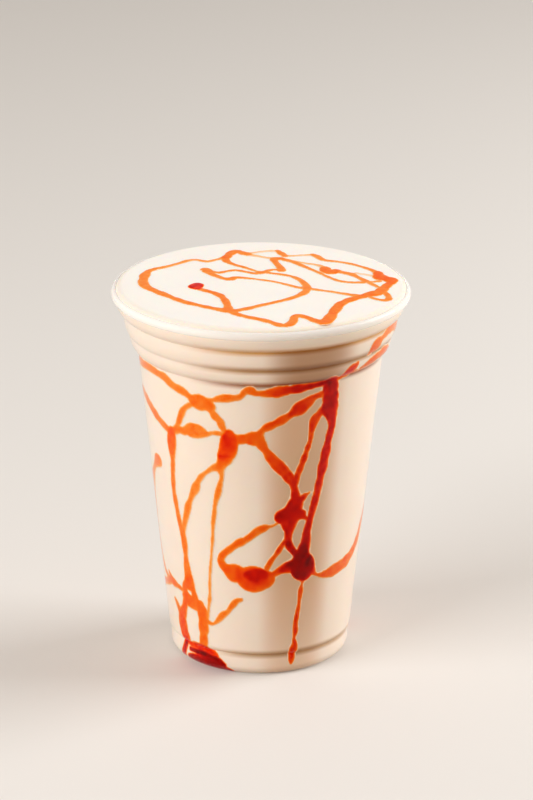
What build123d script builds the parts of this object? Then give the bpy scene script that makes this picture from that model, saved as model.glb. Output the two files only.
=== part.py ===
from build123d import *
import os

# A milkshake served in a clear disposable cup.  Units are millimetres, +Z is up and the
# origin is on the cup's axis, in the plane it stands on.

# Cup: overall
RIM_RADIUS = 47.5        # outside of the rolled rim
RIM_HEIGHT = 122.0       # crest of the rolled rim above the table
WALL = 0.6               # thickness of the plastic

# Rolled rim
RIM_ROLL_WIDTH = 2.0
RIM_ROLL_HEIGHT = 2.75

# Collar: three bands under the rim, each one tucked in under the band above
BAND_1_HEIGHT = 4.75
BAND_1_TUCK = 2.45
BAND_2_HEIGHT = 6.6
BAND_2_TUCK = 1.8
BAND_3_HEIGHT = 5.6
BAND_3_TUCK = 2.75
BAND_LEAN = 0.15         # how far the face of a band leans in before it turns under
BAND_LIP = 1.2           # height of the turned-under edge of a band

# Foot: the tapered wall steps in over a short ring
FOOT_RADIUS = 28.85      # outside of the ring
FOOT_HEIGHT = 7.3        # from the table to the groove over the ring
GROOVE_DEPTH = 0.3       # groove, measured in from the ring
WALL_OVERHANG = 0.75     # how far the wall's lower edge stands out from the ring
WALL_EDGE_HEIGHT = 2.0   # height over which the wall's lower edge turns in
RING_EDGE_HEIGHT = 1.1   # height over which the top of the ring turns in
FOOT_ROUNDING = 3.3      # rounding between the ring and the standing surface
LAND_WIDTH = 1.4         # flat ring that the cup stands on
PANEL_HEIGHT = 3.4       # underside of the raised base panel above the table
PANEL_LEAN = 1.0         # how far the skirt round the panel leans in

# Milkshake
MENISCUS_WIDTH = 2.6     # rounded edge where the drink bulges over the rim
MENISCUS_HEIGHT = 0.95
DOME_HEIGHT = 0.3        # extra height in the middle of the drink

# Worked out from the sizes above
INNER_LIFT = WALL / 2    # the inner skin is set up by this much, so the ledges stay as thick
ROLL_CREST = RIM_RADIUS - RIM_ROLL_WIDTH / 2
ROLL_MIDDLE = RIM_HEIGHT - RIM_ROLL_HEIGHT / 2
ROLL_UNDERSIDE = RIM_HEIGHT - RIM_ROLL_HEIGHT
COLLAR_RADIUS = RIM_RADIUS - RIM_ROLL_WIDTH + WALL
LAND_RADIUS = FOOT_RADIUS - FOOT_ROUNDING
SKIRT_RADIUS = LAND_RADIUS - LAND_WIDTH
GROOVE_RADIUS = FOOT_RADIUS - GROOVE_DEPTH
RING_TOP = FOOT_HEIGHT - RING_EDGE_HEIGHT
BANDS = [
    (BAND_1_HEIGHT, BAND_1_TUCK),
    (BAND_2_HEIGHT, BAND_2_TUCK),
    (BAND_3_HEIGHT, BAND_3_TUCK),
]


def side(inset, lift):
    """Half section of the wall from under the rim down to the top of the foot rounding."""
    radius = COLLAR_RADIUS
    height = ROLL_UNDERSIDE
    line = Curve()
    for band_height, tuck in BANDS:
        top = (radius - inset, height + lift)
        height = height - band_height
        corner = (radius - BAND_LEAN - inset, height + BAND_LIP + lift)
        radius = radius - tuck
        line += Bezier(top, corner, (radius - inset, height + lift))
    edge_top = FOOT_HEIGHT + WALL_EDGE_HEIGHT + lift
    edge_radius = FOOT_RADIUS + WALL_OVERHANG - inset
    groove = (GROOVE_RADIUS - inset, FOOT_HEIGHT + lift)
    line += Line((radius - inset, height + lift), (edge_radius, edge_top))
    line += Bezier((edge_radius, edge_top), (edge_radius, groove[1] + GROOVE_DEPTH), groove)
    ring_top = (FOOT_RADIUS - inset, RING_TOP + lift)
    line += Bezier(groove, (ring_top[0], groove[1]), ring_top)
    line += Line(ring_top, (ring_top[0], FOOT_ROUNDING))
    return line


def base(inset):
    """Half section of the foot rounding, the standing surface and the raised panel."""
    floor = inset
    land = (LAND_RADIUS, floor)
    skirt = (SKIRT_RADIUS + inset, floor)
    panel = (SKIRT_RADIUS - PANEL_LEAN + inset, PANEL_HEIGHT + inset)
    rounding = CenterArc((LAND_RADIUS, FOOT_ROUNDING), FOOT_ROUNDING - inset, -90, 90)
    return rounding + Polyline(land, skirt, panel, (0, panel[1]))


def roll(start_angle, sweep):
    """Part of the rolled rim's oval section."""
    centre = (ROLL_CREST, ROLL_MIDDLE)
    half_width = RIM_ROLL_WIDTH / 2
    half_height = RIM_ROLL_HEIGHT / 2
    return EllipticalCenterArc(centre, half_width, half_height, start_angle, arc_size=sweep)


def inside():
    """Half section of the cup's inner skin, from the crest of the rim to the axis."""
    inner_radius = COLLAR_RADIUS - WALL
    neck = Line((inner_radius, ROLL_MIDDLE), (inner_radius, ROLL_UNDERSIDE + INNER_LIFT))
    return roll(90, 90) + neck + side(WALL, INNER_LIFT) + base(WALL)


def outside():
    """Half section of the cup's outer skin, from the crest of the rim to the axis."""
    shelf = Line((ROLL_CREST, ROLL_UNDERSIDE), (COLLAR_RADIUS, ROLL_UNDERSIDE))
    return roll(-90, 180) + shelf + side(0, 0) + base(0)


def turned(outline):
    """Solid of revolution about Z from a closed half section."""
    return revolve(Plane.XZ * make_face(outline.edges()), Axis.Z)


def make_cup():
    """Thin clear cup with a rolled rim, a banded collar and a foot ring."""
    panel_thickness = Line((0, PANEL_HEIGHT), (0, PANEL_HEIGHT + WALL))
    return turned(outside() + panel_thickness + inside())


def make_milkshake():
    """Drink that fills the cup and bulges a little over the crest of the rim."""
    edge_radius = ROLL_CREST - MENISCUS_WIDTH
    edge_height = RIM_HEIGHT + MENISCUS_HEIGHT
    crown = edge_height + DOME_HEIGHT
    centre = (edge_radius, RIM_HEIGHT)
    meniscus = EllipticalCenterArc(centre, MENISCUS_WIDTH, MENISCUS_HEIGHT, 0, arc_size=90)
    dome = TangentArc((0, crown), (edge_radius, edge_height), tangent=(1, 0))
    axis_line = Line((0, PANEL_HEIGHT + WALL), (0, crown))
    return turned(inside() + meniscus + dome + axis_line)


os.makedirs("parts", exist_ok=True)
export_step(make_cup(), "parts/cup.step")
export_step(make_milkshake(), "parts/milkshake.step")
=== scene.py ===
"""Milkshake with fruit syrup in a clear banded cup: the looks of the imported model.

Laid out as an add-on. The cup is the CAD node itself; the drink is turned again so that it
reaches just into the cup's wall, and the syrup is poured as flat-backed films: down the
inside of the wall, in the foot, and in a drizzle on top.
"""

import math

import bpy
import numpy as np
from mathutils import Matrix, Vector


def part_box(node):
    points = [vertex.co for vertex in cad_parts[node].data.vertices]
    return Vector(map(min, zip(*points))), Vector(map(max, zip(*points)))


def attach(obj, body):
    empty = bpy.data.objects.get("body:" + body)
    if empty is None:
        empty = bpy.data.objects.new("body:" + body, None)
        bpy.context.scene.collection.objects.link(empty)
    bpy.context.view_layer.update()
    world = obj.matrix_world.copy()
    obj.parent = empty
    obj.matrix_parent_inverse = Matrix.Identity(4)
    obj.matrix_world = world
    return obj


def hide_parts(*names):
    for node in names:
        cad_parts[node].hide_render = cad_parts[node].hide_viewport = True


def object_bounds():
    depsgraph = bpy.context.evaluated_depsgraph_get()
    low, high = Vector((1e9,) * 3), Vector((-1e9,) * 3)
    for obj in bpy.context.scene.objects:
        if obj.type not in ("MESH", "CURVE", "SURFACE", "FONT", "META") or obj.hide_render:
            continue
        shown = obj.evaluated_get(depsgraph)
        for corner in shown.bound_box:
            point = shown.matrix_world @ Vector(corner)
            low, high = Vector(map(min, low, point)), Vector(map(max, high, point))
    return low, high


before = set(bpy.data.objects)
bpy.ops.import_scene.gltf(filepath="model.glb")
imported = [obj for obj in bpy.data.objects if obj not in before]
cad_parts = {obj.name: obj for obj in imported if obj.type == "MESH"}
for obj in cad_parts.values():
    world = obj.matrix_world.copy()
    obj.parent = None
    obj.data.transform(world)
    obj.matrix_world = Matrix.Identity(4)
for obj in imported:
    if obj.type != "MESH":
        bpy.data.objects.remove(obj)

bl_info = {
    "name": "Milkshake",
    "version": (1, 0, 0),
    "blender": (4, 5, 0),
    "location": "3D View > Sidebar > Milkshake",
    "description": "Finishes a cup of milkshake and pours its syrup",
    "category": "Object",
}

CAD_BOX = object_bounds()
CUP_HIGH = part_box("cup")[1]
MM = 0.001
HAND_SEED = 41         # every uneven edge and width is drawn from this

# The cup's sizes in millimetres, as the CAD model has them
RIM_RADIUS = CUP_HIGH.x / MM
RIM_HEIGHT = CUP_HIGH.z / MM
WALL = 0.6
RIM_ROLL_WIDTH = 2.0
RIM_ROLL_HEIGHT = 2.75
BANDS = ((4.75, 2.45), (6.6, 1.8), (5.6, 2.75))    # height and tuck of each collar band
BAND_LEAN = 0.15
BAND_LIP = 1.2
FOOT_RADIUS = 28.85
FOOT_HEIGHT = 7.3
GROOVE_DEPTH = 0.3
WALL_OVERHANG = 0.75
WALL_EDGE_HEIGHT = 2.0
RING_EDGE_HEIGHT = 1.1
FOOT_ROUNDING = 3.3
LAND_WIDTH = 1.4
PANEL_HEIGHT = 3.4
PANEL_LEAN = 1.0
MENISCUS_WIDTH = 2.6
CREASE = 0.45          # how far under the crest of the rim the froth meets it
ROLL_CREST = RIM_RADIUS - RIM_ROLL_WIDTH / 2
ROLL_MIDDLE = RIM_HEIGHT - RIM_ROLL_HEIGHT / 2
FROTH_EDGE = ROLL_CREST - MENISCUS_WIDTH

# Painted shade: the milk is browner at the front right and in the steps than the lamps make it, so that
# shade is painted into its colour. Each painted shade has its tint, and how it fades out in height, in
# mm.
STEP_SHADE_TINTS = ("#DDB36C", "#BC9868", "#A86C40", "#C0A680")    # collar steps, then the foot's groove
STEP_SHADE_FADE = (-1.8, -0.4, 0.25, 1.7)    # from a step: where its painted shade starts, is full, is full and ends
COLLAR_SHADE_TINT = "#CCB199"                # behind the three bands
COLLAR_SHADE_FADE = (1.2, 1.5)               # below the lowest step, and above the highest
WALL_SHADE_TINT = "#E6CEB6"                  # behind the straight wall
FOOT_SHADE_TINT = "#F2E6DA"                  # at the foot, where the wall's painted shade is weaker
WALL_SHADE_FADE = (25, 4)                    # up from the foot, and to each side of the lowest step
# The way each painted shade faces, in degrees round from the front, and how squarely the milk has to face
# it, as a cosine, for the shade to start and to be full
STEP_SHADE_FACING = (33, 0.3, 0.85)
COLLAR_SHADE_FACING = (23, 0.92, 1.0)
WALL_SHADE_FACING = (22, 0.91, 1.0)

# The grids that the syrup is cut from: a depth is in mm inside a strand's edge, and negative outside
OUTSIDE = -2.0         # depth where no strand is near
FAR_OFF = -0.8         # grid points further outside than this are deleted before the film is cut
CLOSED = -0.95         # depth held on a grid's first and last rows, so that each film ends before them
RUN_PITCH = 0.35       # spacing of the points along a strand
COLUMNS = 640          # columns round the wall
WALL_REACH = (0.5, 118)    # lowest and highest syrup on the wall
TOP_PITCH = 0.32       # spacing of the grid over the froth
TOP_HALF = 44.0        # half its width

# Syrup down the inside of the wall: (strength of colour at its start and at its end, points), and
# each point is (degrees round from the front, height, width) with the lengths in millimetres
WALL_STRANDS = (
    # left shoulder, round to the middle
    (0.62, 0.62, ((-88, 97, 3), (-81, 99.3, 2.9), (-70, 100.2, 2.7), (-62, 100.6, 2.5),
     (-55, 100.2, 2.3), (-51, 100, 2.8), (-46.5, 98.5, 2.4), (-43, 97.8, 2.5), (-39, 97.2, 2.6),
     (-36, 96.2, 1.9), (-33.6, 95.4, 2.6))),
    (0.74, 0.72, ((-34, 95, 2.4), (-31.5, 94.8, 4), (-29, 94.7, 5), (-26.2, 94.4, 4.6),
     (-23.8, 93.8, 3))),
    (0.66, 0.86, ((-28, 95, 3), (-23, 96.1, 1.2), (-19.5, 97, 1.9), (-14.5, 97.6, 2.2),
     (-10.5, 98, 1.8), (-8.8, 98.7, 1.5), (-7, 100.2, 2.1), (-4.5, 100.6, 2.4), (-2, 99.7, 1.7),
     (3, 99.6, 2.2))),
    # The next two runs grow darker to the right, under the collar: painted shade in their strength
    (0.9, 1.25, ((2.4, 99.6, 2), (7.5, 100, 3.2), (12, 100.4, 2.9))),
    (1.2, 1.8, ((10, 100.3, 2), (15.5, 100.6, 2.7), (24, 101, 1.9), (30, 101.4, 1.4),
     (33.5, 101.2, 2))),
    (0.62, 0.74, ((-30, 94.4, 3), (-34.5, 93.4, 1.5), (-37.4, 92.2, 1.6), (-39.6, 90.8, 1.8),
     (-41.2, 89, 1.9), (-42.7, 86.9, 1.9), (-44.6, 84.6, 1.8), (-46.9, 82.7, 2))),
    (0.64, 0.7, ((-26, 94, 3), (-23.8, 92.4, 1.9), (-21.8, 90.7, 2.1), (-19.6, 89.4, 2.2),
     (-18.5, 87.4, 2), (-17, 85.6, 2))),
    (0.6, 0.7, ((-88, 89.4, 2.6), (-81, 89.6, 2.8), (-74, 88.4, 3), (-68, 86.8, 3), (-63, 85.2, 2.8),
     (-58, 83.7, 2.3), (-54, 82.6, 2.1), (-49.8, 81.6, 2.8))),
    (0.66, 0.64, ((-47.5, 82.2, 2.2), (-43.5, 83.4, 2), (-40.5, 83.4, 2.1), (-37.5, 84.2, 3.6),
     (-34, 84.5, 5.2), (-30.5, 84.6, 4), (-27, 84.3, 1.7), (-23.5, 84.9, 1.4), (-20, 85.1, 1.7),
     (-16.5, 84.9, 2.6))),
    # left trunk, down to the hub
    (0.94, 0.84, ((-48.8, 82, 3.4), (-49.6, 79.8, 4), (-50.1, 77.4, 4), (-50.3, 74.6, 2.9))),
    (0.68, 0.72, ((-50.3, 75.4, 2.8), (-50.4, 71.6, 1.9), (-51.3, 67, 2), (-51.9, 61.3, 1.8),
     (-50.8, 55.6, 2), (-49.4, 50.6, 1.9), (-47.6, 46.8, 2.3), (-46.9, 43.6, 2.3), (-46.7, 40, 2),
     (-46.6, 36.8, 2), (-46.3, 34.2, 2.7), (-45.8, 31.6, 3.8))),
    (0.84, 0.84, ((-45.8, 31.8, 3.8), (-45.6, 28.9, 4.3))),
    (0.84, 0.84, ((-47.4, 29.6, 2.2), (-49.6, 27.8, 2.2), (-49.9, 25.8, 2.5), (-48, 24, 3),
     (-44.6, 23.2, 3.4), (-42, 24.6, 2.8), (-42.8, 27, 2.3), (-43.9, 29, 2.2))),
    (0.82, 0.8, ((-50.6, 24, 2.4), (-47, 22.4, 3.2), (-42, 22.2, 3.8), (-38.6, 22.6, 3.6))),
    # the knot left of the middle and what runs from it
    (1.18, 1.1, ((-15.2, 85.1, 3.2), (-15.2, 83, 5.4), (-15.7, 81, 6.1), (-16.2, 79.4, 5.7),
     (-17.6, 77.4, 4.8))),
    (1.05, 0.74, ((-16.6, 78.4, 4.6), (-17.6, 77, 4.4), (-19, 75.3, 3.8), (-20.8, 73, 2.9))),
    (0.62, 0.62, ((-21, 73.6, 3), (-24.6, 72.6, 1.5), (-27.4, 71.3, 1.2), (-30, 69.9, 1.3),
     (-32.9, 67.7, 1.9), (-35.6, 64.3, 2.6), (-37.8, 62, 2.1), (-39.6, 59.7, 1.5), (-41.8, 56.7, 2.3),
     (-43.3, 54, 2.1), (-45.4, 50.4, 1.8), (-47.6, 46.8, 2.1))),
    (0.66, 0.56, ((-20.6, 73, 2.8), (-19.7, 70.3, 1.2), (-20.9, 67.3, 1.4), (-22.2, 64.3, 1.8),
     (-23.6, 61.3, 1.3), (-24.4, 59.3, 1.1), (-24.9, 56.7, 1.4), (-25.8, 53.7, 1.2), (-26.3, 50, 0.8),
     (-27.2, 45.3, 0.7), (-28.4, 40, 0.7), (-29.2, 36.7, 0.8), (-30, 32.7, 0.7), (-30.4, 28.7, 0.7),
     (-30.7, 26.4, 1.4), (-31.4, 24.4, 0.8), (-32.2, 21.6, 0.7), (-33.4, 18.6, 1))),
    (0.92, 0.96, ((-14, 83.8, 3.6), (-10.6, 83.7, 2.9), (-7, 84, 3.3), (-3.4, 84.2, 4), (-1, 84, 3.6))),
    (0.86, 1.15, ((-1, 85, 2.8), (0.8, 86.8, 1.6), (3, 88, 2.4), (6.5, 89, 2.8), (11, 90.6, 2.3),
     (14.5, 92, 2.3))),
    (1.25, 1.15, ((13.6, 91.6, 1.6), (16.5, 93, 3), (19.5, 94.2, 4.6), (22.5, 95.5, 3.5),
     (25.5, 96.9, 2), (30, 97.8, 1.8))),
    (0.86, 1.1, ((-0.8, 83.6, 3.2), (1.4, 81.3, 2.7), (4.2, 78.6, 2.8), (7.4, 75.9, 3.3),
     (10.6, 73.6, 3.6))),
    (1.15, 1.35, ((9.6, 74.3, 2.6), (12, 72.7, 3.5), (14.4, 70.6, 2.8), (17, 68, 2.3), (18, 65.6, 2),
     (18.5, 63.6, 2.4))),
    # the hook low on the front
    (0.84, 0.86, ((10, 54.9, 0.5), (7.2, 53.9, 0.6), (4.4, 53.5, 1.1), (2, 53, 2.5), (-1, 52.1, 2.4),
     (-4.4, 50.4, 2.3), (-8, 48.6, 2.1), (-10.4, 47.9, 2.4), (-12.9, 46.9, 2), (-17.5, 44.6, 2.2),
     (-21, 42.6, 2.1), (-22.2, 40.6, 2.2), (-20.8, 38.8, 3), (-17.6, 37.6, 4), (-14, 36.6, 5.2))),
    (0.92, 1.1, ((-15, 36.9, 4), (-11, 36.2, 5.6), (-6.2, 35.2, 7.6), (-1.6, 34.8, 8.6),
     (2.4, 34.9, 7.6), (4.1, 35.1, 4.6))),
    (1.4, 1.4, ((-6.5, 36.2, 3.6), (-2.2, 36.1, 5.7), (2, 36, 3.8))),
    (1.5, 0.9, ((19, 39, 3.6), (15, 38.6, 3.4), (11.5, 37.8, 2.8), (8, 36.6, 1.7), (5, 36, 2.4))),
    (0.78, 0.66, ((-11.1, 27.3, 1.2), (-13.8, 26.6, 1.8), (-16.9, 24.4, 1.6), (-19.4, 22.4, 1.4),
     (-22.6, 21, 1.7), (-25.2, 19.2, 1.5), (-28.8, 17.3, 0.7), (-32.4, 17.2, 1.4), (-36, 18, 2.6))),
    # the two legs under the hub, and the splash to the left of it
    (0.8, 0.76, ((-43, 23.4, 2.4), (-39.4, 22.5, 2.7), (-37, 21, 3.5), (-36.6, 18, 3.8),
     (-36.8, 14.6, 3.4), (-37.2, 11.6, 3), (-37.6, 8.6, 3.4))),
    (0.85, 1, ((-50.6, 22.4, 2.6), (-52, 20, 2.4), (-54.2, 17.6, 3.4), (-55.8, 15.4, 4.2),
     (-55.8, 13, 4.2), (-55, 10.6, 4), (-53.4, 8.8, 3.6))),
    (0.72, 0.55, ((-56.6, 16.4, 2.6), (-58.8, 18.2, 2.2), (-61, 19.9, 1.5), (-62.8, 20.8, 0.9))),
    (0.78, 0.66, ((-52.6, 26, 1.4), (-57, 26.3, 1.4), (-61, 26.7, 2.6), (-66, 26.8, 3.1),
     (-71, 25.4, 2.4), (-78, 24, 2.2), (-88, 22.4, 3.4))),
    (0.8, 0.8, ((-68, 29.4, 0.8), (-65.6, 28, 1.8), (-62.6, 26.8, 2.4))),
    (0.55, 0.62, ((-72.6, 65, 1.8), (-77, 61, 2), (-80.4, 55, 2), (-82, 48, 1.8), (-82.6, 41, 1.8),
     (-80.4, 34, 2), (-76, 29, 2.2), (-70, 27.2, 2))),
    (0.68, 0.46, ((-64.6, 68.6, 3.2), (-67.4, 68.2, 3.6), (-71, 66.2, 2.2), (-75, 63.8, 1.9),
     (-80, 61.2, 2.8), (-88, 57.7, 4.6))),
    # right trunk and its loop
    (1.55, 1.5, ((34.2, 101.8, 4.6), (34.5, 98.8, 5.1), (34.9, 95.8, 5.6), (34.8, 93, 6.2),
     (36.2, 89.6, 3.5))),
    (1.45, 1.35, ((36.2, 89.6, 3.5), (36.9, 86.2, 2.7), (36.1, 83.6, 2.5), (35.1, 80.4, 2.7),
     (34.2, 76.4, 2.9), (33, 72, 2.8), (32, 68, 2.5), (30.8, 63.6, 2.4))),
    (1.35, 1.6, ((30.8, 63.6, 2.4), (29.4, 59.6, 2.3), (28, 55.8, 2.1), (27, 53, 2.7),
     (26.1, 50.4, 2.5), (25.8, 47, 3.2), (25, 45, 4.2))),
    (1.2, 1.3, ((31.5, 92.6, 2.8), (29, 91, 2.5), (27, 89.5, 3.2), (25.9, 87.4, 3), (25.4, 85, 1.6),
     (25, 82.4, 1.4), (23.6, 79.4, 1.7), (22.3, 76.6, 1.9), (20.7, 73.5, 2), (19, 70.6, 1.8),
     (18, 68, 2))),
    (1.5, 1.45, ((18.6, 64.6, 2.1), (18.9, 62.5, 3), (18.6, 60.6, 4.8), (17.6, 58.6, 6),
     (16.4, 57, 6.4), (15.7, 55.3, 5.8), (15.7, 53.6, 4.4), (15.8, 51.6, 2.9), (15.4, 49.2, 2),
     (15.4, 47.6, 2))),
    (1.55, 1.45, ((11.8, 56.8, 4.4), (15, 57.1, 5.2), (19, 57.2, 5), (22.4, 57, 3.6))),
    (1.6, 1, ((20.4, 61.6, 3), (22.4, 62.6, 2), (24.4, 63.6, 1), (26.4, 64.2, 0.4))),
    (1.5, 1.3, ((22, 56.6, 2.2), (24.6, 55.6, 1.2), (26.8, 54.6, 1.6))),
    (1.3, 1, ((15, 48.6, 1.8), (12.3, 46.8, 1.6), (10, 44.4, 1.4), (6.6, 41.6, 1.4), (4.2, 39, 1.6))),
    (0.75, 0.75, ((14.4, 47.2, 1.4), (15.4, 45.8, 1.2))),
    (1.6, 1.7, ((15.5, 48.6, 1.8), (16.4, 46.2, 2), (19, 44.1, 2.1), (22, 42.4, 3))),
    (1.8, 1.8, ((25.4, 45.4, 3), (24.3, 43.2, 4.6), (24, 41.2, 6.4), (24.5, 39, 7.6), (25.5, 37, 7.4),
     (26, 35.6, 5))),
    (1.6, 1.7, ((16.9, 39.2, 2.6), (20, 39.4, 4))),
    # right-hand tail, drip and the smear round the side
    (1.3, 0.9, ((30.4, 36.4, 3), (33.4, 34.7, 0.9), (36.8, 33.9, 1.1), (40, 33.7, 2))),
    (0.85, 0.72, ((38.6, 33.8, 1.8), (42, 33.7, 2.8), (46.5, 33.9, 3.8), (53, 34.4, 4.3),
     (58.4, 34.9, 4.1), (62.6, 35.8, 3.6), (67, 37.2, 3.2), (72, 39.4, 3.2), (76, 42, 3.4))),
    (1.15, 1.2, ((25.4, 33.6, 1.2), (25, 32, 0.5), (24.5, 30.2, 1.2), (24.2, 28.4, 1.5),
     (23.9, 26, 0.9), (23.5, 23.6, 1.1), (22.9, 21, 1.4), (22.3, 18, 1.4), (22.4, 15, 1.6),
     (21.8, 12.8, 0.8), (22.2, 10.4, 2), (21.3, 8, 2.5), (21, 5.6, 1.9), (20.8, 4, 1))),
    (0.7, 0.7, ((75, 41.4, 3), (79, 45, 3.8), (84, 48, 4.2), (89, 48, 4.2), (95, 44.6, 3.8),
     (101, 41.8, 3), (110, 42.8, 2), (119, 46, 1.8), (128, 50.5, 2), (138, 55, 2.8), (147, 57.6, 4))),
    # under the rim, caught in the bands
    (1.1, 1.3, ((46.8, 106.2, 1.2), (45, 105.2, 2.8), (43, 104.4, 3.4), (40.8, 103.5, 2.2),
     (38.4, 102.8, 1))),
    (0.8, 1.2, ((47.6, 103.4, 1.6), (44, 102.8, 1.6), (40, 102.5, 1.4), (36.4, 101.8, 2))),
    (0.8, 0.66, ((53.6, 108.6, 2), (56, 110, 4), (58, 110.6, 4.2), (60, 111.4, 2.6), (63, 112.4, 1.6))),
    (0.66, 0.6, ((62, 112.2, 1.8), (67, 113.2, 2.8), (72.7, 113.4, 3), (81, 111.6, 3), (88, 109.9, 3),
     (96, 109.2, 2.6), (104, 109.6, 2.8), (110, 110.6, 3.4), (113, 110.4, 2))),
    (0.78, 0.66, ((50.4, 103.6, 1.6), (54, 104.4, 2.4), (58.6, 105, 2.6), (64, 105.6, 2.8),
     (71.5, 105.6, 2.8), (78.7, 103.6, 3), (88, 100.8, 3.2), (97, 98, 2.6), (107, 96.5, 2),
     (117, 97.4, 2.2), (128, 99.4, 2.8), (137, 100.2, 4))),
    # across the back
    (0.67, 0.67, ((-88, 97, 3), (-97, 94.5, 2.6), (-108, 92.6, 2), (-118, 91.8, 1.8), (-127, 93.2, 2.4),
     (-134, 94.6, 4))),
    (0.73, 0.73, ((-134, 94.8, 4), (-140, 95.6, 2), (-150, 98, 1.8), (-160, 99.8, 2.6),
     (-170, 100.3, 2.2), (-181, 99.4, 2), (-192, 98, 2.6), (-203, 99, 2.2), (-214, 100.4, 2.8),
     (-222, 100, 4.4))),
    (0.63, 0.63, ((-88, 89.4, 2.6), (-98, 88.6, 2.2), (-107, 85, 2), (-115, 81, 2.4), (-121, 76, 3),
     (-124, 72, 4.6))),
    (0.95, 0.95, ((-132.4, 93.6, 3), (-130.4, 89, 2), (-127.4, 83, 1.8), (-125, 77, 2.4),
     (-124, 72.4, 4.6), (-124.6, 67.4, 3.4))),
    (0.63, 0.63, ((-88, 57.7, 4.6), (-95, 55.2, 3.4), (-104, 54, 2), (-113, 55.6, 1.8), (-120, 60, 2.2),
     (-124, 66, 3))),
    (0.69, 0.69, ((-88, 22.4, 3.4), (-97, 20.6, 2.8), (-106, 21.5, 1.8), (-114, 25, 1.6), (-121, 31, 2),
     (-126, 38, 2.2), (-129, 46, 2), (-128, 55, 2.2), (-125.6, 63, 2.4), (-124.4, 68, 3))),
    (0.63, 0.63, ((-136, 93, 2), (-141, 85, 1.2), (-147, 74, 1.5), (-152, 63, 1.2), (-157, 54, 1.4),
     (-163, 46, 1.4), (-171, 43.4, 2))),
    (1.37, 1.37, ((138, 100.4, 4.6), (138.6, 96, 4.4), (139.4, 91, 3), (141, 86, 2.6), (144, 78, 2.6),
     (147, 70, 3), (148.5, 63, 4), (149.4, 58, 6.6), (148.6, 53, 4.2))),
    (0.95, 0.95, ((148.8, 55, 4), (147, 49.6, 3), (144, 43, 2.4), (141, 36, 2), (139, 29, 2.4),
     (138, 23, 3.2), (138.4, 18.6, 2), (138.8, 15.6, 1.2))),
    (0.69, 0.69, ((149, 57, 4), (156, 53, 2.4), (163, 48, 1.8), (170, 44.5, 2), (178, 43, 3),
     (187, 44, 2), (196, 47.5, 1.7), (204, 52, 1.9), (211, 58, 2), (217, 64, 2.4), (225, 69.4, 2.4),
     (234, 72, 3.4))),
    (0.73, 0.73, ((159, 100, 2), (157, 92, 1.6), (155, 84, 2.2), (154, 76, 1.6), (151, 68, 2.2),
     (149, 61, 3))),
    (0.67, 0.67, ((-149, 30.4, 1.5), (-153, 28.8, 2.2), (-158, 25.4, 2.6), (-162, 21.4, 1.8))),
    (0.73, 0.73, ((108, 17, 2), (112, 14, 3), (115, 10.4, 3.4), (116.6, 7.2, 3.4), (117, 4.4, 3))),
)
# Syrup that has run together in the foot: the same values
FOOT_STRANDS = (
    (1.15, 1.25, ((-54, 8.6, 2.6), (-50.4, 7.2, 2.6), (-44.5, 6.9, 3), (-38, 6.8, 3.4),
     (-32.4, 6.2, 2.6), (-28.6, 5.4, 1.6))),
    (1.95, 2, ((-50.6, 4.9, 1.2), (-46, 4.9, 1.7), (-41, 4.9, 1.9), (-34, 4.7, 1.9), (-28, 4, 1.9),
     (-23.4, 2.6, 1.7))),
    (1.75, 1.6, ((-51.4, 1.8, 2.6), (-46, 2.1, 3.6), (-42, 2.2, 4), (-37, 2.2, 4.6), (-31, 2, 4.2),
     (-26, 1.6, 3.2), (-21.6, 1.1, 2.2), (-19, 0.9, 1.4))),
    (1.7, 1.5, ((-54.8, 6.2, 1.6), (-56.6, 4.6, 2), (-58, 3, 2.2), (-59.4, 1.7, 1.8))),
    (1.2, 1.4, ((-54.4, 8, 1.8), (-55.6, 6.2, 1.8), (-56.6, 4.6, 1.8))),
    (1.2, 1.2, ((112, 3.6, 3), (117, 3, 4), (122, 2.4, 3.2), (127, 1.6, 2))),
)
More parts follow.
